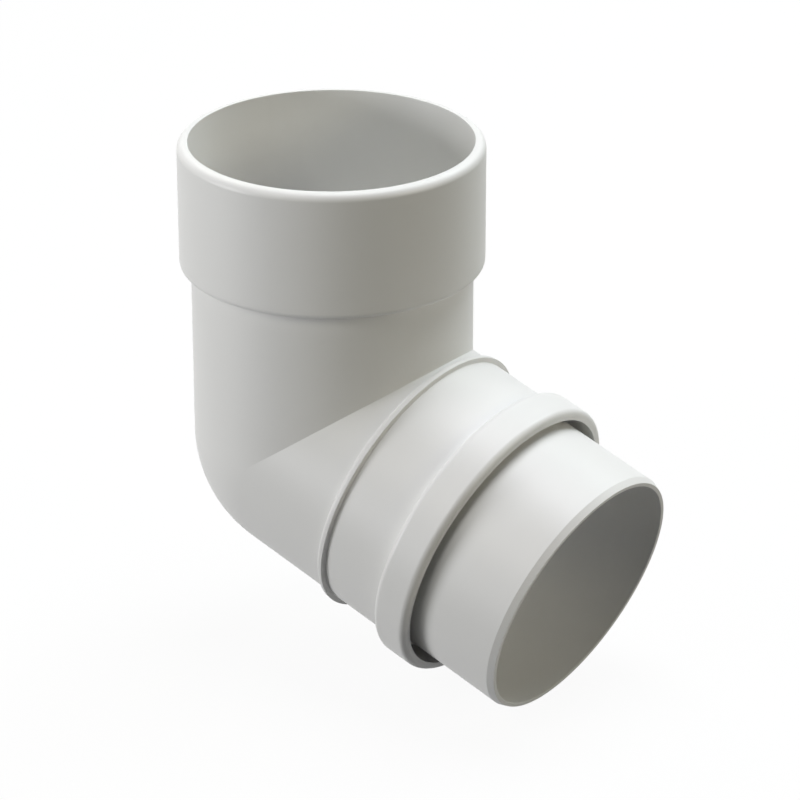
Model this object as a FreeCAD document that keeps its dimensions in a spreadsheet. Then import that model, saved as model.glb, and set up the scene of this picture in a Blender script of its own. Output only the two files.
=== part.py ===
# Downspout elbow: one moulding that turns a round rainwater pipe 72 degrees away from
# straight down. The upper pipe stands in the socket. The lower pipe slides over the spigot,
# and its end tucks into the groove under the collar.
#
# The origin is the centre of the pipe stop, the seat inside the socket on which the upper
# pipe's end rests. +Z runs up the socket and the outlet leaves towards +X. Lengths are in
# millimetres. The centre of the bend is where the centre lines of the two legs cross.

import FreeCAD
import Part
import Sketcher
import math
import os

NODE = "downspout_elbow"

SIZES = (
    ("pipe_diameter", 85.0, "outside of the pipe, and of the elbow's own plain wall"),
    ("bend_angle", 72.0, "turn of the outlet away from straight down"),
    ("upper_leg", 56.5, "pipe stop down to the centre of the bend"),
    ("socket_depth", 36.1, "pipe stop up to the rim"),
    ("socket_gap", 0.25, "room all round the pipe in the socket"),
    ("socket_wall", 3.25, "thickness of the socket's wall"),
    ("socket_floor", 3.0, "height of the shoulder under the pipe stop"),
    ("rim_round", 2.6, "rounded outer edge of the rim"),
    ("edge_round", 2.0, "rounded outer edges of the socket's foot and the collar"),
    ("bead_place", 34.45, "centre of the bend to the front of the bead's crest"),
    ("bead_width", 2.15, "length of the bead's crest along the outlet"),
    ("bead_height", 1.6, "how far the bead stands out of the plain wall"),
    ("bead_round", 1.3, "rounded back edge of the bead"),
    ("bead_draft", 0.2, "how far the bead's front leans out from its crest to its foot"),
    ("foot_round", 0.8, "hollow corner at the foot of the collar"),
    ("collar_place", 68.5, "centre of the bend to the front of the collar"),
    ("collar_length", 12.1, "length of the collar along the outlet"),
    ("collar_gap", 0.4, "room all round the pipe under the collar"),
    ("collar_wall", 3.1, "thickness of the collar's wall"),
    ("groove_depth", 10.0, "depth of the groove that takes the lower pipe's end"),
    ("pipe_wall", 2.0, "thickness of the lower pipe's wall, which goes into the groove"),
    ("spigot_gap", 0.3, "room all round the spigot in the lower pipe"),
    ("spigot_wall", 2.1, "thickness of the spigot's wall, which sets the bore"),
    ("spigot_reach", 29.4, "how far the spigot stands out of the collar"),
    ("lead_length", 2.1, "tapered lead-in at the spigot's end, along it"),
    ("lead_depth", 0.85, "tapered lead-in at the spigot's end, across its wall"),
)

# Radii and places worked out from the sizes, as expressions on the sheet.
BODY_RADIUS = "Sizes.pipe_diameter / 2"
SOCKET_BORE = f"{BODY_RADIUS} + Sizes.socket_gap"
SOCKET_RADIUS = f"{SOCKET_BORE} + Sizes.socket_wall"
BEAD_RADIUS = f"{BODY_RADIUS} + Sizes.bead_height"
COLLAR_BORE = f"{BODY_RADIUS} + Sizes.collar_gap"
COLLAR_RADIUS = f"{COLLAR_BORE} + Sizes.collar_wall"
SPIGOT_RADIUS = f"{BODY_RADIUS} - Sizes.pipe_wall - Sizes.spigot_gap"
MOUTH_RADIUS = f"{SPIGOT_RADIUS} - Sizes.lead_depth"
BORE = f"{SPIGOT_RADIUS} - Sizes.spigot_wall"

BEND_HEIGHT = "-Sizes.upper_leg"
UNDERSIDE = "-Sizes.socket_floor"
RIM = "Sizes.socket_depth"

BEAD_FRONT = "Sizes.bead_place"
BEAD_BACK = "Sizes.bead_place - Sizes.bead_width"
BEAD_TOE = "Sizes.bead_place + Sizes.bead_draft"
COLLAR_FRONT = "Sizes.collar_place"
COLLAR_BACK = "Sizes.collar_place - Sizes.collar_length"
GROOVE_FLOOR = "Sizes.collar_place - Sizes.groove_depth"
SPIGOT_END = "Sizes.collar_place + Sizes.spigot_reach"
LEAD_START = f"{SPIGOT_END} - Sizes.lead_length"

RIM_EDGE = "Sizes.rim_round"
EDGE = "Sizes.edge_round"
BEAD_EDGE = "Sizes.bead_round"
FOOT = "Sizes.foot_round"

# A sketch is first drawn at this small size, and then the sheet's sizes pull it into shape.
ROUGH_SIZE = 1.0
ROUGH_ROUND = 0.01


def fill_sheet(doc):
    """Write each driving size into the sheet, with its name as the cell's alias."""
    sheet = doc.addObject("Spreadsheet::Sheet", "Sizes")
    for row, (name, value, note) in enumerate(SIZES, start=1):
        sheet.set(f"A{row}", name)
        sheet.set(f"B{row}", str(value))
        sheet.set(f"C{row}", note)
        sheet.setAlias(f"B{row}", name)
    doc.recompute()


def origin_plane(body, role):
    """One of the body's own three base planes."""
    return next(item for item in body.Origin.OriginFeatures if item.Role == role)


def bind(sketch, constraint, name, expression):
    """Add a dimension to a sketch and tie it to the sheet."""
    index = sketch.addConstraint(constraint)
    sketch.renameConstraint(index, name)
    sketch.setExpression(f"Constraints.{name}", expression)


def base_sketch(body, name, plane):
    sketch = body.newObject("Sketcher::SketchObject", name)
    sketch.AttachmentSupport = (origin_plane(body, plane), [""])
    sketch.MapMode = "FlatFace"
    return sketch


def turn_to_outlet(sketch):
    """Put the sketch's origin at the centre of the bend, and its vertical axis along the outlet."""
    quarter_turn = 90
    sketch.AttachmentOffset = FreeCAD.Placement(
        FreeCAD.Vector(0, 0, 0),
        FreeCAD.Rotation(FreeCAD.Vector(0, 0, 1), -quarter_turn),
    )
    sketch.setExpression("AttachmentOffset.Base.y", BEND_HEIGHT)
    sketch.setExpression("AttachmentOffset.Rotation.Angle", f"Sizes.bend_angle - {2 * quarter_turn}")


def outline(sketch, corners):
    """Closed outline beside the sketch's vertical axis, to be turned round that axis.

    A corner is its distance from the axis, its height along the axis and, where it is not
    sharp, the radius of its round.
    """
    count = len(corners)
    rough = []
    for number in range(count):
        angle = 2 * math.pi * number / count
        rough.append(FreeCAD.Vector(ROUGH_SIZE * math.cos(angle), ROUGH_SIZE * math.sin(angle), 0))
    for number in range(count):
        sketch.addGeometry(Part.LineSegment(rough[number], rough[(number + 1) % count]))
    for number in range(count):
        sketch.addConstraint(Sketcher.Constraint("Coincident", number, 2, (number + 1) % count, 1))
    for number, corner in enumerate(corners):
        across = Sketcher.Constraint("DistanceX", -1, 1, number, 1, rough[number].x)
        bind(sketch, across, f"radius_{number}", corner[0])
        along = Sketcher.Constraint("DistanceY", -1, 1, number, 1, rough[number].y)
        bind(sketch, along, f"height_{number}", corner[1])
    sketch.Document.recompute()
    for number, corner in enumerate(corners):
        if len(corner) > 2:
            sketch.fillet(number, 1, ROUGH_ROUND, True, True)
            arc = max(i for i, item in enumerate(sketch.Geometry) if isinstance(item, Part.ArcOfCircle))
            bind(sketch, Sketcher.Constraint("Radius", arc, ROUGH_ROUND), f"round_{number}", corner[2])


def turned(body, name, corners, outlet=False, cut=False):
    """Feature of revolution about the socket's axis or, if asked, about the outlet's."""
    sketch = base_sketch(body, f"{name}_outline", "XZ_Plane")
    if outlet:
        turn_to_outlet(sketch)
    outline(sketch, corners)
    feature = body.newObject("PartDesign::Groove" if cut else "PartDesign::Revolution", name)
    feature.Profile = sketch
    feature.ReferenceAxis = (sketch, ["V_Axis"])
    feature.Angle = 360
    finish_feature(body, feature, cut)


def bend_wedge(body, name, radius, cut=False):
    """The outer side of the bend: half a disc turned about its straight edge, which crosses
    both centre lines. It leaves a ball-shaped heel that runs smoothly into both legs."""
    sketch = base_sketch(body, f"{name}_outline", "XY_Plane")
    sketch.setExpression("AttachmentOffset.Base.z", BEND_HEIGHT)
    circle = Part.Circle(FreeCAD.Vector(0, 0, 0), FreeCAD.Vector(0, 0, 1), ROUGH_SIZE)
    top = FreeCAD.Vector(0, ROUGH_SIZE, 0)
    bottom = FreeCAD.Vector(0, -ROUGH_SIZE, 0)
    sketch.addGeometry(Part.ArcOfCircle(circle, math.pi / 2, 3 * math.pi / 2))
    sketch.addGeometry(Part.LineSegment(bottom, top))
    sketch.addConstraint(Sketcher.Constraint("Coincident", 0, 3, -1, 1))
    sketch.addConstraint(Sketcher.Constraint("Coincident", 0, 1, 1, 2))
    sketch.addConstraint(Sketcher.Constraint("Coincident", 0, 2, 1, 1))
    sketch.addConstraint(Sketcher.Constraint("PointOnObject", 0, 1, -2))
    sketch.addConstraint(Sketcher.Constraint("PointOnObject", 0, 2, -2))
    bind(sketch, Sketcher.Constraint("Radius", 0, ROUGH_SIZE), "radius", radius)
    feature = body.newObject("PartDesign::Groove" if cut else "PartDesign::Revolution", name)
    feature.Profile = sketch
    feature.ReferenceAxis = (sketch, ["V_Axis"])
    feature.Reversed = True
    feature.setExpression("Angle", "Sizes.bend_angle")
    finish_feature(body, feature, cut)


def finish_feature(body, feature, cut):
    """Recompute, and stop if the feature added nothing or cut nothing."""
    before = feature.BaseFeature.Shape.Volume if feature.BaseFeature else 0.0
    body.Document.recompute()
    after = feature.Shape.Volume
    print(f"{feature.Name}: {before:.0f} -> {after:.0f} cubic mm")
    if (after >= before) if cut else (after <= before):
        raise RuntimeError(f"{feature.Name} changed nothing")


def add_outside(body):
    """The outer skin: socket and upper leg, heel, then the outlet with its bead and collar."""
    turned(body, "socket_and_leg", (
        ("0", BEND_HEIGHT),
        (BODY_RADIUS, BEND_HEIGHT),
        (BODY_RADIUS, UNDERSIDE),
        (SOCKET_RADIUS, UNDERSIDE, EDGE),
        (SOCKET_RADIUS, RIM, RIM_EDGE),
        ("0", RIM),
    ))
    bend_wedge(body, "heel", BODY_RADIUS)
    turned(body, "outlet", (
        ("0", "0"),
        (BODY_RADIUS, "0"),
        (BODY_RADIUS, BEAD_BACK),
        (BEAD_RADIUS, BEAD_BACK, BEAD_EDGE),
        (BEAD_RADIUS, BEAD_FRONT),
        (BODY_RADIUS, BEAD_TOE),
        (BODY_RADIUS, COLLAR_BACK, FOOT),
        (COLLAR_RADIUS, COLLAR_BACK, EDGE),
        (COLLAR_RADIUS, COLLAR_FRONT, EDGE),
        (SPIGOT_RADIUS, COLLAR_FRONT),
        (SPIGOT_RADIUS, LEAD_START),
        (MOUTH_RADIUS, SPIGOT_END),
        ("0", SPIGOT_END),
    ), outlet=True)


def cut_inside(body):
    """The socket's bore down to the pipe stop, the bore through both legs and the bend, and
    the groove between the collar and the spigot."""
    turned(body, "socket_bore", (
        ("0", BEND_HEIGHT),
        (BORE, BEND_HEIGHT),
        (BORE, "0"),
        (SOCKET_BORE, "0"),
        (SOCKET_BORE, RIM),
        ("0", RIM),
    ), cut=True)
    bend_wedge(body, "heel_bore", BORE, cut=True)
    turned(body, "outlet_bore", (
        ("0", "0"),
        (BORE, "0"),
        (BORE, SPIGOT_END),
        ("0", SPIGOT_END),
    ), outlet=True, cut=True)
    turned(body, "pipe_groove", (
        (SPIGOT_RADIUS, GROOVE_FLOOR),
        (COLLAR_BORE, GROOVE_FLOOR),
        (COLLAR_BORE, COLLAR_FRONT),
        (SPIGOT_RADIUS, COLLAR_FRONT),
    ), outlet=True, cut=True)


def build_elbow(doc):
    body = doc.addObject("PartDesign::Body", NODE)
    body.Label = NODE
    body.Placement = FreeCAD.Placement()
    add_outside(body)
    cut_inside(body)
    return body


def check(doc, bodies):
    """Stop on any failed object, and on any part without one sound solid."""
    for item in doc.Objects:
        if "Invalid" in item.State or "Error" in item.State:
            raise RuntimeError(f"{item.Name} failed: {item.State}")
    for body in bodies:
        shape = body.Shape
        if shape.isNull() or not shape.isValid() or len(shape.Solids) != 1:
            raise RuntimeError(f"{body.Label} is not one sound solid")


def main():
    doc = FreeCAD.newDocument("DownspoutElbow")
    fill_sheet(doc)
    bodies = [build_elbow(doc)]
    doc.recompute()
    check(doc, bodies)
    os.makedirs("parts", exist_ok=True)
    for body in bodies:
        body.Shape.exportStep(f"parts/{body.Label}.step")
        print(f"{body.Label}: {body.Shape.Volume:.0f} cubic mm, {len(body.Shape.Faces)} faces")


main()
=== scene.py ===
"""Downspout elbow: the visible moulding and the studio stage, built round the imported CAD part.

The frame is the CAD's own, in metres: the origin is the centre of the pipe stop inside the
socket, +Z runs up the socket and the outlet leaves towards +X. The centre of the bend is the
point where the centre lines of the two legs cross, straight under the origin.
"""

import bpy
import math
import numpy as np
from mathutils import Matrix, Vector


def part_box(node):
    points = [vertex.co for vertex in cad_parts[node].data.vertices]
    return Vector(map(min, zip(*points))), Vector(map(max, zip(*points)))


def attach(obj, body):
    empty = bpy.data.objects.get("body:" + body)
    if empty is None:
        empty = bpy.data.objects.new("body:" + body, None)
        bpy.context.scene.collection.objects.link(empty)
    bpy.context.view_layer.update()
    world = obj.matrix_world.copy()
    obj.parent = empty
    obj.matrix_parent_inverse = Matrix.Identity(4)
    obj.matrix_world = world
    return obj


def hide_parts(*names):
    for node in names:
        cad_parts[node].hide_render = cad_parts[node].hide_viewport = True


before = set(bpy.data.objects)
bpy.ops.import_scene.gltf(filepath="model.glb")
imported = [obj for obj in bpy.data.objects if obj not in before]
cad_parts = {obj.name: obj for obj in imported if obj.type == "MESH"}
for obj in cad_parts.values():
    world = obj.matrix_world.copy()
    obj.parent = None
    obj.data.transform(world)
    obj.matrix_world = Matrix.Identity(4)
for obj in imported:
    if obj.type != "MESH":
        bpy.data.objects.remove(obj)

bl_info = {
    "name": "Downspout Elbow",
    "version": (1, 0, 0),
    "blender": (4, 5, 0),
    "location": "View3D > Sidebar > Elbow",
    "description": "Builds a round plastic downpipe elbow and a plain studio stage for it",
    "category": "Object",
}

NODE = "downspout_elbow"
PIECE = "elbow_moulding"
CAD_LOW, CAD_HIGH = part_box(NODE)
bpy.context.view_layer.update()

# Steps of the surface: round the pipe, through the bend, on a quarter round, and along each
# side of the outline that reaches the bend
AROUND = 256
BEND_STEPS = 36
ROUND_STEPS = 8
LEG_STEPS = 8

# Points are welded when they agree on a grid with this many steps to the metre
WELD_STEPS = 1e8
# A cosine nearer to 0 than this is on the line across the bend, which the outer half keeps
COSINE_MARGIN = 1e-9


def length(label, default, note):
    """A size of the moulding, in metres, for the sidebar."""
    return bpy.props.FloatProperty(
        name=label, default=default, description=note, unit="LENGTH", precision=5, min=0.0)


class ElbowSizes(bpy.types.PropertyGroup):
    """Sizes of the moulding. They repeat the CAD part's."""

    bend_angle: bpy.props.FloatProperty(
        name="Bend Angle", default=math.radians(72.0), subtype="ANGLE",
        description="Turn of the outlet away from straight down")
    upper_leg: length("Upper Leg", 0.0565, "Pipe stop down to the centre of the bend")
    body_radius: length("Body Radius", 0.0425, "Outside radius of the two plain legs")
    bore_radius: length("Bore Radius", 0.0381, "Radius of the water way through both legs")
    socket_radius: length("Socket Radius", 0.046, "Outside radius of the socket")
    socket_bore: length("Socket Bore", 0.04275, "Radius of the socket's bore")
    socket_depth: length("Socket Depth", 0.0361, "Pipe stop up to the rim")
    socket_floor: length("Socket Floor", 0.003, "Height of the shoulder under the pipe stop")
    rim_round: length("Rim Round", 0.0026, "Rounded outer edge of the rim")
    bead_radius: length("Bead Radius", 0.0441, "Outside radius of the bead")
    bead_front: length("Bead Front", 0.03445, "Centre of the bend to the front of the bead's crest")
    bead_width: length("Bead Width", 0.00215, "Length of the bead's crest along the outlet")
    bead_round: length("Bead Round", 0.0013, "Rounded back edge of the bead")
    bead_draft: length("Bead Draft", 0.0002, "How far the bead's front leans out to its foot")
    collar_radius: length("Collar Radius", 0.046, "Outside radius of the collar")
    collar_bore: length("Collar Bore", 0.0429, "Radius of the groove's outer wall")
    collar_front: length("Collar Front", 0.0685, "Centre of the bend to the front of the collar")
    collar_length: length("Collar Length", 0.0121, "Length of the collar along the outlet")
    groove_depth: length("Groove Depth", 0.01, "Depth of the groove under the collar")
    spigot_radius: length("Spigot Radius", 0.0402, "Outside radius of the spigot")
    spigot_end: length("Spigot End", 0.0979, "Centre of the bend to the spigot's mouth")
    lead_length: length("Lead Length", 0.0021, "Tapered lead-in at the mouth, along the spigot")
    lead_depth: length("Lead Depth", 0.00085, "Tapered lead-in at the mouth, across the wall")
    edge_round: length("Edge Round", 0.002, "Rounded edges of the socket's foot and the collar")
    foot_round: length("Foot Round", 0.0008, "Hollow corner at the foot of the collar")
    edge_ease: length("Edge Ease", 0.0002, "Softening of the edges that look sharp")


class ElbowFinish(bpy.types.PropertyGroup):
    """Colour and surface of the moulded plastic."""

    plastic_colour: bpy.props.FloatVectorProperty(
        name="Plastic", subtype="COLOR", size=3, min=0.0, max=1.0, default=(0.758, 0.755, 0.744),
        description="Off-white of the rigid PVC")
    mottle_colour: bpy.props.FloatVectorProperty(
        name="Mottle", subtype="COLOR", size=3, min=0.0, max=1.0, default=(0.746, 0.743, 0.731),
        description="The slightly deeper off-white of the faint mottle")
    roughness: bpy.props.FloatProperty(
        name="Roughness", default=0.45, min=0.0, max=1.0, subtype="FACTOR",
        description="Satin of the moulded skin")
    grain_size: length("Grain Size", 0.0006, "Width of one grain of the moulded skin")
    grain_depth: length("Grain Depth", 0.000004, "Depth of the grain")


class StageSettings(bpy.types.PropertyGroup):
    """The floor, the camera and the light."""

    light_level: bpy.props.FloatProperty(
        name="Light Level", default=1.0, min=0.0, description="Factor on every lamp")
    lens: bpy.props.FloatProperty(
        name="Lens", default=174.54, min=1.0, unit="CAMERA",
        description="Focal length on a 36 mm wide sensor")
    camera_place: bpy.props.FloatVectorProperty(
        name="Camera Place", default=(0.6771, -0.8411, 0.4407), subtype="TRANSLATION",
        unit="LENGTH", description="Where the camera stands")
    camera_azimuth: bpy.props.FloatProperty(
        name="Camera Azimuth", default=math.radians(37.756), subtype="ANGLE",
        description="How far round the object the camera stands from the front")
    camera_elevation: bpy.props.FloatProperty(
        name="Camera Elevation", default=math.radians(24.397), subtype="ANGLE",
        description="How far the camera looks down")


# Shape

def rounded_corner(before, corner, after, radius):
    """Points and normals of one rounded corner of an outline, each (along, across).

    The arc touches both sides: it starts the tangent length, radius times the tangent of
    half the turn, before the corner. Each point is the arc's centre plus or minus the
    radius times the normal, which is the walking direction turned a quarter to the left.
    """
    before, corner, after = (np.array(point[:2], float) for point in (before, corner, after))
    first = (corner - before) / np.linalg.norm(corner - before)
    second = (after - corner) / np.linalg.norm(after - corner)
    left = np.array([-first[1], first[0]])
    turn = math.atan2(first[0] * second[1] - first[1] * second[0], first @ second)
    side = math.copysign(1.0, turn)
    centre = corner - radius * abs(math.tan(turn / 2)) * first + side * radius * left
    count = max(2, math.ceil(abs(turn) / (math.pi / 2) * ROUND_STEPS))
    angle = math.atan2(left[1], left[0]) + turn * np.linspace(0.0, 1.0, count + 1)
    normal = np.stack([np.cos(angle), np.sin(angle)], -1)
    return centre - side * radius * normal, normal


def outline_run(corners, sign):
    """Outline of one leg, from the bend out to its end and back, as a table of stations.

    A corner is (along, radius, round). Along is negative up the upper leg and positive
    along the outlet, and the first and last corners lie at the bend, at along = 0. The two
    sides that reach the bend are divided evenly, and each of their points also has a share
    of the mitre: 0 at the far end of the side, 1 at the bend. Columns: along, radius,
    normal along, normal across, mitre share.
    """
    points, normals = [], []
    for before, corner, after in zip(corners, corners[1:], corners[2:]):
        arc, normal = rounded_corner(before, corner, after, corner[2])
        points.append(arc)
        normals.append(normal)
    points, normals = np.concatenate(points), np.concatenate(normals)
    share = np.linspace(1.0, 0.0, LEG_STEPS + 1)[:-1]

    def side(end, bend_radius):
        return np.stack([end[0] * (1 - share), np.full(LEG_STEPS, bend_radius)], -1)

    out, back = side(points[0], corners[0][1]), side(points[-1], corners[-1][1])[::-1]
    out_normal = np.tile(normals[0], (LEG_STEPS, 1))
    back_normal = np.tile(normals[-1], (LEG_STEPS, 1))
    shares = np.concatenate([share, np.zeros(len(points)), share[::-1]]) * sign
    return np.column_stack([
        np.concatenate([out, points, back]),
        np.concatenate([out_normal, normals, back_normal]),
        shares])


def elbow_outline(s):
    """The closed outline of the moulding's wall, walked with the plastic on the right.

    Up the bore of the upper leg, over the pipe stop and the socket's rim, down outside to
    the bend; out along the outlet over bead and collar, into the groove, along the spigot
    to the mouth, and back up the bore. The two turns of the bend lie between. The edges of
    the collar's bore and of the taper at the mouth look crisper, and get half the easing.
    """
    rim = -(s.upper_leg + s.socket_depth)
    stop = -s.upper_leg
    underside = -(s.upper_leg - s.socket_floor)
    ease = s.edge_ease
    crisp = ease / 2
    upper = (
        (0.0, s.bore_radius),
        (stop, s.bore_radius, ease),
        (stop, s.socket_bore, ease),
        (rim, s.socket_bore, ease),
        (rim, s.socket_radius, s.rim_round),
        (underside, s.socket_radius, s.edge_round),
        (underside, s.body_radius, ease),
        (0.0, s.body_radius),
    )
    bead_back = s.bead_front - s.bead_width
    collar_back = s.collar_front - s.collar_length
    groove_floor = s.collar_front - s.groove_depth
    lead_start = s.spigot_end - s.lead_length
    mouth_radius = s.spigot_radius - s.lead_depth
    outlet = (
        (0.0, s.body_radius),
        (bead_back, s.body_radius, ease),
        (bead_back, s.bead_radius, s.bead_round),
        (s.bead_front, s.bead_radius, ease),
        (s.bead_front + s.bead_draft, s.body_radius, ease),
        (collar_back, s.body_radius, s.foot_round),
        (collar_back, s.collar_radius, s.edge_round),
        (s.collar_front, s.collar_radius, s.edge_round),
        (s.collar_front, s.collar_bore, crisp),
        (groove_floor, s.collar_bore, ease),
        (groove_floor, s.spigot_radius, ease),
        (lead_start, s.spigot_radius, ease),
        (s.spigot_end, mouth_radius, crisp),
        (s.spigot_end, s.bore_radius, ease),
        (0.0, s.bore_radius),
    )
    return outline_run(upper, -1.0), outline_run(outlet, 1.0)


def elbow_stations(s):
    """All the stations round the wall: the upper leg, the outer turn, the outlet, the inner turn.

    Columns: along, radius, normal along, normal across, mitre share, turn, and 1 for a
    station of a turn. In a turn the radius stays and the turn goes evenly from 0 to the
    bend's angle, or back.
    """
    upper, outlet = elbow_outline(s)
    steps = np.linspace(0.0, s.bend_angle, BEND_STEPS + 1)[1:-1]

    def turn(radius, way, angles):
        zero = np.zeros(len(angles))
        return np.column_stack([
            zero, zero + radius, zero, zero + way, zero, angles, zero + 1])

    def leg(run, angle):
        return np.column_stack([run, np.full(len(run), angle), np.zeros(len(run))])

    return np.concatenate([
        leg(upper, 0.0), turn(s.body_radius, 1.0, steps),
        leg(outlet, s.bend_angle), turn(s.bore_radius, -1.0, steps[::-1])])


def elbow_grid(s):
    """Points and normals of the whole wall on a grid of stations by angles round the pipe.

    A point is the bend's centre, plus along times the leg's direction, plus the radius times
    (cos a times the outer direction plus sin a times Y). The outer direction starts at -X and
    turns with the bend, so the outer half of a turn is a part of a ball. On the inner half
    the two legs run on until they meet in the mitre plane, where along is the depth
    (radius times -cos a) times the tangent of half the bend's angle.
    """
    table = elbow_stations(s)
    along, radius, normal_along, normal_across, share, turn, turning = np.hsplit(
        table, table.shape[1])
    angle = 2 * math.pi * np.arange(AROUND) / AROUND
    cos, sin = np.cos(angle)[None, :], np.sin(angle)[None, :]
    inner = cos < -COSINE_MARGIN
    mitre = radius * np.maximum(0.0, -cos) * math.tan(s.bend_angle / 2)
    held = np.where((turning > 0) & inner, 0.0, turn)
    sign = np.where((turning > 0) & inner, -1.0, share)
    reach = along + sign * mitre
    ahead = np.stack([np.sin(held), np.zeros_like(held), -np.cos(held)], -1)
    outer = np.stack([-np.cos(held), np.zeros_like(held), -np.sin(held)], -1)
    across = np.array([0.0, 1.0, 0.0])
    spoke = cos[..., None] * outer + sin[..., None] * across
    centre = np.array([0.0, 0.0, -s.upper_leg])
    points = centre + reach[..., None] * ahead + radius[..., None] * spoke
    normals = normal_along[..., None] * ahead + normal_across[..., None] * spoke
    return points, normals


def weld(points):
    """Joins points that lie on each other, and gives each grid point its number."""
    flat = points.reshape(-1, 3)
    placed = np.round(flat * WELD_STEPS).astype(np.int64)
    first, number = np.unique(placed, axis=0, return_index=True, return_inverse=True)[1:]
    return flat[first], number.reshape(points.shape[:2])


def grid_faces(number):
    """Faces of a grid that closes both ways, with the grid index of each of their corners.

    A quad whose corners lie on each other in one pair becomes a triangle, and one that
    has shrunk to a line is left out.
    """
    rows, columns = number.shape
    index = np.arange(rows * columns).reshape(rows, columns)
    right, down = np.roll(index, -1, 1), np.roll(index, -1, 0)
    quads = np.stack([index, right, np.roll(right, -1, 0), down], -1).reshape(-1, 4)
    flat = number.ravel()
    corner = flat[quads]
    same = corner == np.roll(corner, -1, 1)
    whole = quads[~same.any(1) & (corner[:, 0] != corner[:, 2]) & (corner[:, 1] != corner[:, 3])]
    single = same.sum(1) == 1
    triangles = quads[single][~same[single]].reshape(-1, 3)
    return [whole, triangles], flat


def mesh_piece(name, points, normals):
    """A closed surface as a mesh object with its own smooth normals."""
    vertices, number = weld(points)
    groups, flat = grid_faces(number)
    faces = [face for group in groups for face in flat[group].tolist()]
    mesh = bpy.data.meshes.new(name)
    mesh.from_pydata(vertices.tolist(), [], faces)
    mesh.shade_smooth()
    loops = np.concatenate([normals.reshape(-1, 3)[group].reshape(-1, 3) for group in groups])
    mesh.normals_split_custom_set(loops.tolist())
    mesh.update()
    piece = bpy.data.objects.new(name, mesh)
    bpy.context.scene.collection.objects.link(piece)
    return piece


# Finish

PVC_IOR = 1.53
# Width of one cloud of the mottle, in metres, and how far the roughness swings with it
MOTTLE_SIZE = 0.018
ROUGHNESS_SPREAD = 0.08
GRAIN_NOISE = {"Detail": 3.0, "Roughness": 0.55}
MOTTLE_NOISE = {"Detail": 4.0, "Roughness": 0.6}


def node(tree, kind, place, **inputs):
    """A shader node at that place, with its unlinked inputs set by name."""
    made = tree.nodes.new(kind)
    made.location = place
    for key, value in inputs.items():
        made.inputs[key.replace("_", " ")].default_value = value
    return made


def moulded_skin_group(settings):
    """Shader group of a moulded skin: a fine grain's height, a slow mottle and a roughness.

    Each noise is drawn in the object's own space, at 1 over the size of its grain. The
    roughness is the given one plus the spread times the mottle's distance from its middle.
    """
    group = bpy.data.node_groups.new("moulded_skin", "ShaderNodeTree")
    kind = "NodeSocketFloat"
    for name, value in settings.items():
        group.interface.new_socket(name, in_out="INPUT", socket_type=kind).default_value = value
    for name in ("Height", "Mottle", "Roughness"):
        group.interface.new_socket(name, in_out="OUTPUT", socket_type=kind)
    link = group.links.new
    given = node(group, "NodeGroupInput", (-900, 0))
    result = node(group, "NodeGroupOutput", (600, 0))
    place = node(group, "ShaderNodeTexCoord", (-900, 300))

    def noise(size_name, height, look):
        scale = node(group, "ShaderNodeMath", (-650, height))
        scale.operation = "DIVIDE"
        scale.inputs[0].default_value = 1.0
        link(given.outputs[size_name], scale.inputs[1])
        pattern = node(group, "ShaderNodeTexNoise", (-400, height), **look)
        link(place.outputs["Object"], pattern.inputs["Vector"])
        link(scale.outputs[0], pattern.inputs["Scale"])
        return pattern

    grain = noise("Grain Size", 300, GRAIN_NOISE)
    mottle = noise("Mottle Size", -50, MOTTLE_NOISE)
    spread = node(group, "ShaderNodeMath", (-100, -250))
    spread.operation = "MULTIPLY_ADD"
    centred = node(group, "ShaderNodeMath", (-250, -150))
    centred.operation = "SUBTRACT"
    centred.inputs[1].default_value = 0.5
    link(mottle.outputs["Fac"], centred.inputs[0])
    link(centred.outputs[0], spread.inputs[0])
    link(given.outputs["Roughness Spread"], spread.inputs[1])
    link(given.outputs["Roughness"], spread.inputs[2])
    link(grain.outputs["Fac"], result.inputs["Height"])
    link(mottle.outputs["Fac"], result.inputs["Mottle"])
    link(spread.outputs[0], result.inputs["Roughness"])
    return group


def plastic_material(finish):
    """Satin off-white rigid PVC, with a fine moulded grain and a very faint mottle."""
    material = bpy.data.materials.new("satin_pvc")
    material.use_nodes = True
    tree = material.node_tree
    tree.nodes.clear()
    link = tree.links.new
    output = node(tree, "ShaderNodeOutputMaterial", (600, 0))
    skin = node(tree, "ShaderNodeBsdfPrincipled", (300, 0), IOR=PVC_IOR)
    settings = {
        "Grain Size": finish.grain_size, "Mottle Size": MOTTLE_SIZE,
        "Roughness": finish.roughness, "Roughness Spread": ROUGHNESS_SPREAD,
    }
    group = node(tree, "ShaderNodeGroup", (-300, 0))
    group.node_tree = moulded_skin_group(settings)
    for name, value in settings.items():
        group.inputs[name].default_value = value
    tone = node(tree, "ShaderNodeMix", (0, 200))
    tone.data_type = "RGBA"
    tone.inputs["A"].default_value = (*finish.mottle_colour, 1.0)
    tone.inputs["B"].default_value = (*finish.plastic_colour, 1.0)
    bump = node(tree, "ShaderNodeBump", (0, -200), Strength=1.0, Distance=finish.grain_depth)
    link(group.outputs["Mottle"], tone.inputs["Factor"])
    link(group.outputs["Height"], bump.inputs["Height"])
    link(tone.outputs["Result"], skin.inputs["Base Color"])
    link(group.outputs["Roughness"], skin.inputs["Roughness"])
    link(bump.outputs["Normal"], skin.inputs["Normal"])
    link(skin.outputs["BSDF"], output.inputs["Surface"])
    return material


# Stage

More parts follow.
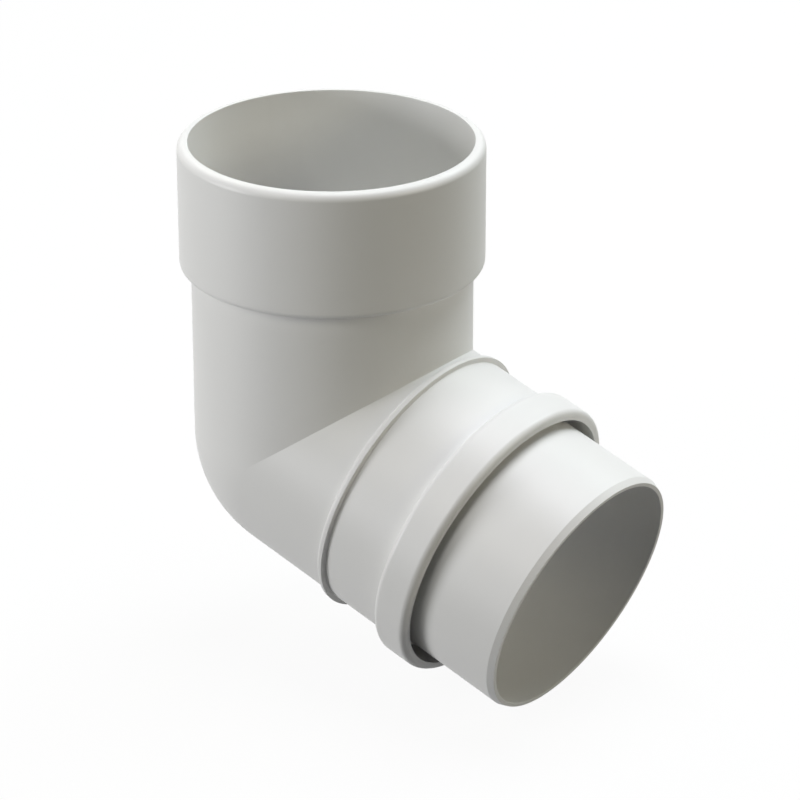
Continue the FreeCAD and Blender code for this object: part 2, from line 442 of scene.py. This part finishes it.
# Each lamp: name, azimuth and elevation in degrees, side in metres, watts, colour
LAMPS = (
    ("left_softbox", -40.2, 1.0, 0.6, 19.6, (0.995, 1.0, 1.01)),
    ("front_left_softbox", -7.2, 38.0, 0.5, 4.6, (1.02, 1.02, 0.95)),
    ("front_right_fill", 97.8, 20.0, 0.5, 5.0, (1.11, 1.05, 0.83)),
    ("back_right_softbox", 169.8, 45.0, 0.7, 9.8, (0.92, 1.03, 1.05)),
    ("back_left_softbox", -112.2, 45.0, 0.5, 4.6, (1.05, 1.05, 0.9)),
    ("top_softbox", -178.2, 80.0, 0.9, 15.9, (0.98, 0.98, 1.04)),
)
LAMP_DISTANCE = 1.6
WORLD_LIGHT = 0.01
WHITE = (1.0, 1.0, 1.0, 1.0)

# The floor is in metres. Its own tone is what throws light back at the object, the paper's
# tone and the share of plain white are what the camera sees
FLOOR_SPAN = 6.0
FLOOR_POINTS = 9
FLOOR_TONE = (0.12, 0.12, 0.12, 1.0)
PAPER_TONE = (0.9, 0.9, 0.9, 1.0)
WHITE_SHARE = 0.94

# The camera's sensor in millimetres, and its nearest and farthest distance in metres
SENSOR_WIDTH = 36.0
CLIP_START, CLIP_END = 0.01, 50.0


def aim(azimuth, elevation):
    """Unit direction from the object towards a lamp: azimuth 0 is -Y, 90 is +X."""
    a, e = math.radians(azimuth), math.radians(elevation)
    return np.array([math.sin(a) * math.cos(e), -math.cos(a) * math.cos(e), math.sin(e)])


def add_lamp(name, azimuth, elevation, side, watts, colour, level):
    """A square soft box that faces the middle of the object."""
    lamp = bpy.data.lights.new(name, "AREA")
    lamp.shape = "SQUARE"
    lamp.size = side
    lamp.energy = watts * level
    lamp.color = colour
    box = bpy.data.objects.new(name, lamp)
    middle = (np.array(CAD_LOW) + np.array(CAD_HIGH)) / 2
    box.location = middle + aim(azimuth, elevation) * LAMP_DISTANCE
    box.rotation_euler = (math.pi / 2 - math.radians(elevation), 0.0, math.radians(azimuth))
    bpy.context.scene.collection.objects.link(box)


def seen_ray(tree, place):
    """1 for a ray from the camera, or one that a surface reflects or lets through."""
    path = node(tree, "ShaderNodeLightPath", place)
    seen = path.outputs["Is Camera Ray"]
    for i, kind in enumerate(("Is Glossy Ray", "Is Transmission Ray")):
        either = node(tree, "ShaderNodeMath", (place[0] + 200 + 200 * i, place[1]))
        either.operation = "MAXIMUM"
        tree.links.new(seen, either.inputs[0])
        tree.links.new(path.outputs[kind], either.inputs[1])
        seen = either.outputs[0]
    return seen


def build_world():
    """Even light from all round, and plain white wherever the camera looks past the floor."""
    world = bpy.data.worlds.new("studio")
    bpy.context.scene.world = world
    world.use_nodes = True
    tree = world.node_tree
    tree.nodes.clear()
    output = node(tree, "ShaderNodeOutputWorld", (600, 0))
    light = node(tree, "ShaderNodeBackground", (200, 100), Color=WHITE, Strength=WORLD_LIGHT)
    white = node(tree, "ShaderNodeBackground", (200, -100), Color=WHITE, Strength=1.0)
    mix = node(tree, "ShaderNodeMixShader", (400, 0))
    tree.links.new(seen_ray(tree, (-300, 200)), mix.inputs["Fac"])
    tree.links.new(light.outputs[0], mix.inputs[1])
    tree.links.new(white.outputs[0], mix.inputs[2])
    tree.links.new(mix.outputs[0], output.inputs["Surface"])


def floor_material():
    """Matt grey floor that the camera and the reflections see as lit white paper.

    The camera's floor is mostly plain white, and a small share of it is the paper as it is
    lit, which keeps the object's shadow.
    """
    material = bpy.data.materials.new("studio_floor")
    material.use_nodes = True
    tree = material.node_tree
    tree.nodes.clear()
    output = node(tree, "ShaderNodeOutputMaterial", (800, 0))
    seen = seen_ray(tree, (-500, 300))
    tone = node(tree, "ShaderNodeMix", (200, 100))
    tone.data_type = "RGBA"
    tone.inputs["A"].default_value = FLOOR_TONE
    tone.inputs["B"].default_value = PAPER_TONE
    paper = node(tree, "ShaderNodeBsdfDiffuse", (400, 100))
    white = node(tree, "ShaderNodeEmission", (400, -100), Color=WHITE, Strength=1.0)
    share = node(tree, "ShaderNodeMath", (400, 300))
    share.operation = "MULTIPLY"
    share.inputs[1].default_value = WHITE_SHARE
    mix = node(tree, "ShaderNodeMixShader", (600, 0))
    tree.links.new(seen, tone.inputs["Factor"])
    tree.links.new(tone.outputs["Result"], paper.inputs["Color"])
    tree.links.new(seen, share.inputs[0])
    tree.links.new(share.outputs[0], mix.inputs["Fac"])
    tree.links.new(paper.outputs[0], mix.inputs[1])
    tree.links.new(white.outputs[0], mix.inputs[2])
    tree.links.new(mix.outputs[0], output.inputs["Surface"])
    return material


def build_floor():
    """A flat square floor just under the object: x and y evenly spaced, z constant."""
    side = np.linspace(-FLOOR_SPAN / 2, FLOOR_SPAN / 2, FLOOR_POINTS)
    x, y = np.meshgrid(side, side, indexing="ij")
    points = np.stack([x, y, np.full_like(x, CAD_LOW[2])], -1)
    index = np.arange(points.shape[0] * points.shape[1]).reshape(points.shape[:2])
    quads = np.stack([index[:-1, :-1], index[1:, :-1], index[1:, 1:], index[:-1, 1:]], -1)
    mesh = bpy.data.meshes.new("studio_floor")
    mesh.from_pydata(points.reshape(-1, 3).tolist(), [], quads.reshape(-1, 4).tolist())
    mesh.materials.append(floor_material())
    floor = bpy.data.objects.new("studio_floor", mesh)
    bpy.context.scene.collection.objects.link(floor)


def build_camera(stage):
    """The camera of the reference picture: a long lens, level, looking down on the object."""
    data = bpy.data.cameras.new("camera")
    data.sensor_width = SENSOR_WIDTH
    data.lens = stage.lens
    data.clip_start, data.clip_end = CLIP_START, CLIP_END
    camera = bpy.data.objects.new("camera", data)
    camera.location = stage.camera_place
    camera.rotation_euler = (math.pi / 2 - stage.camera_elevation, 0.0, stage.camera_azimuth)
    bpy.context.scene.collection.objects.link(camera)
    bpy.context.scene.camera = camera


# Operators

class ELBOW_OT_moulding(bpy.types.Operator):
    """Build the elbow's moulding over its CAD node"""

    bl_idname = "elbow.moulding"
    bl_label = "Build Moulding"

    def execute(self, context):
        scene = context.scene
        points, normals = elbow_grid(scene.elbow_sizes)
        piece = mesh_piece(PIECE, points, normals)
        piece.data.materials.append(plastic_material(scene.elbow_finish))
        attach(piece, "root")
        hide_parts(NODE)
        return {"FINISHED"}


class ELBOW_OT_stage(bpy.types.Operator):
    """Build the floor, the lamps, the world and the camera"""

    bl_idname = "elbow.stage"
    bl_label = "Build Stage"

    def execute(self, context):
        stage = context.scene.elbow_stage
        build_world()
        build_floor()
        for lamp in LAMPS:
            add_lamp(*lamp, stage.light_level)
        build_camera(stage)
        context.scene.view_settings.view_transform = "Standard"
        return {"FINISHED"}


class ELBOW_PT_panel(bpy.types.Panel):
    """Sizes, finish and stage of the elbow"""

    bl_label = "Downspout Elbow"
    bl_idname = "ELBOW_PT_panel"
    bl_space_type = "VIEW_3D"
    bl_region_type = "UI"
    bl_category = "Elbow"

    def draw(self, context):
        scene = context.scene
        for settings in (scene.elbow_sizes, scene.elbow_finish, scene.elbow_stage):
            box = self.layout.box()
            for name in type(settings).__annotations__:
                box.prop(settings, name)
        for operator in (ELBOW_OT_moulding, ELBOW_OT_stage):
            self.layout.operator(operator.bl_idname)


GROUPS = (
    ("elbow_sizes", ElbowSizes), ("elbow_finish", ElbowFinish), ("elbow_stage", StageSettings))
CLASSES = (
    ElbowSizes, ElbowFinish, StageSettings, ELBOW_OT_moulding, ELBOW_OT_stage, ELBOW_PT_panel)


def register():
    """Add the classes and hang the three groups of settings on the scene."""
    for item in CLASSES:
        bpy.utils.register_class(item)
    for name, group in GROUPS:
        setattr(bpy.types.Scene, name, bpy.props.PointerProperty(type=group))


def unregister():
    """Take the settings and the classes away again."""
    for name, group in GROUPS:
        delattr(bpy.types.Scene, name)
    for item in reversed(CLASSES):
        bpy.utils.unregister_class(item)


def main():
    """Build the elbow and its stage."""
    register()
    bpy.ops.elbow.moulding()
    bpy.ops.elbow.stage()


if __name__ == "__main__":
    main()
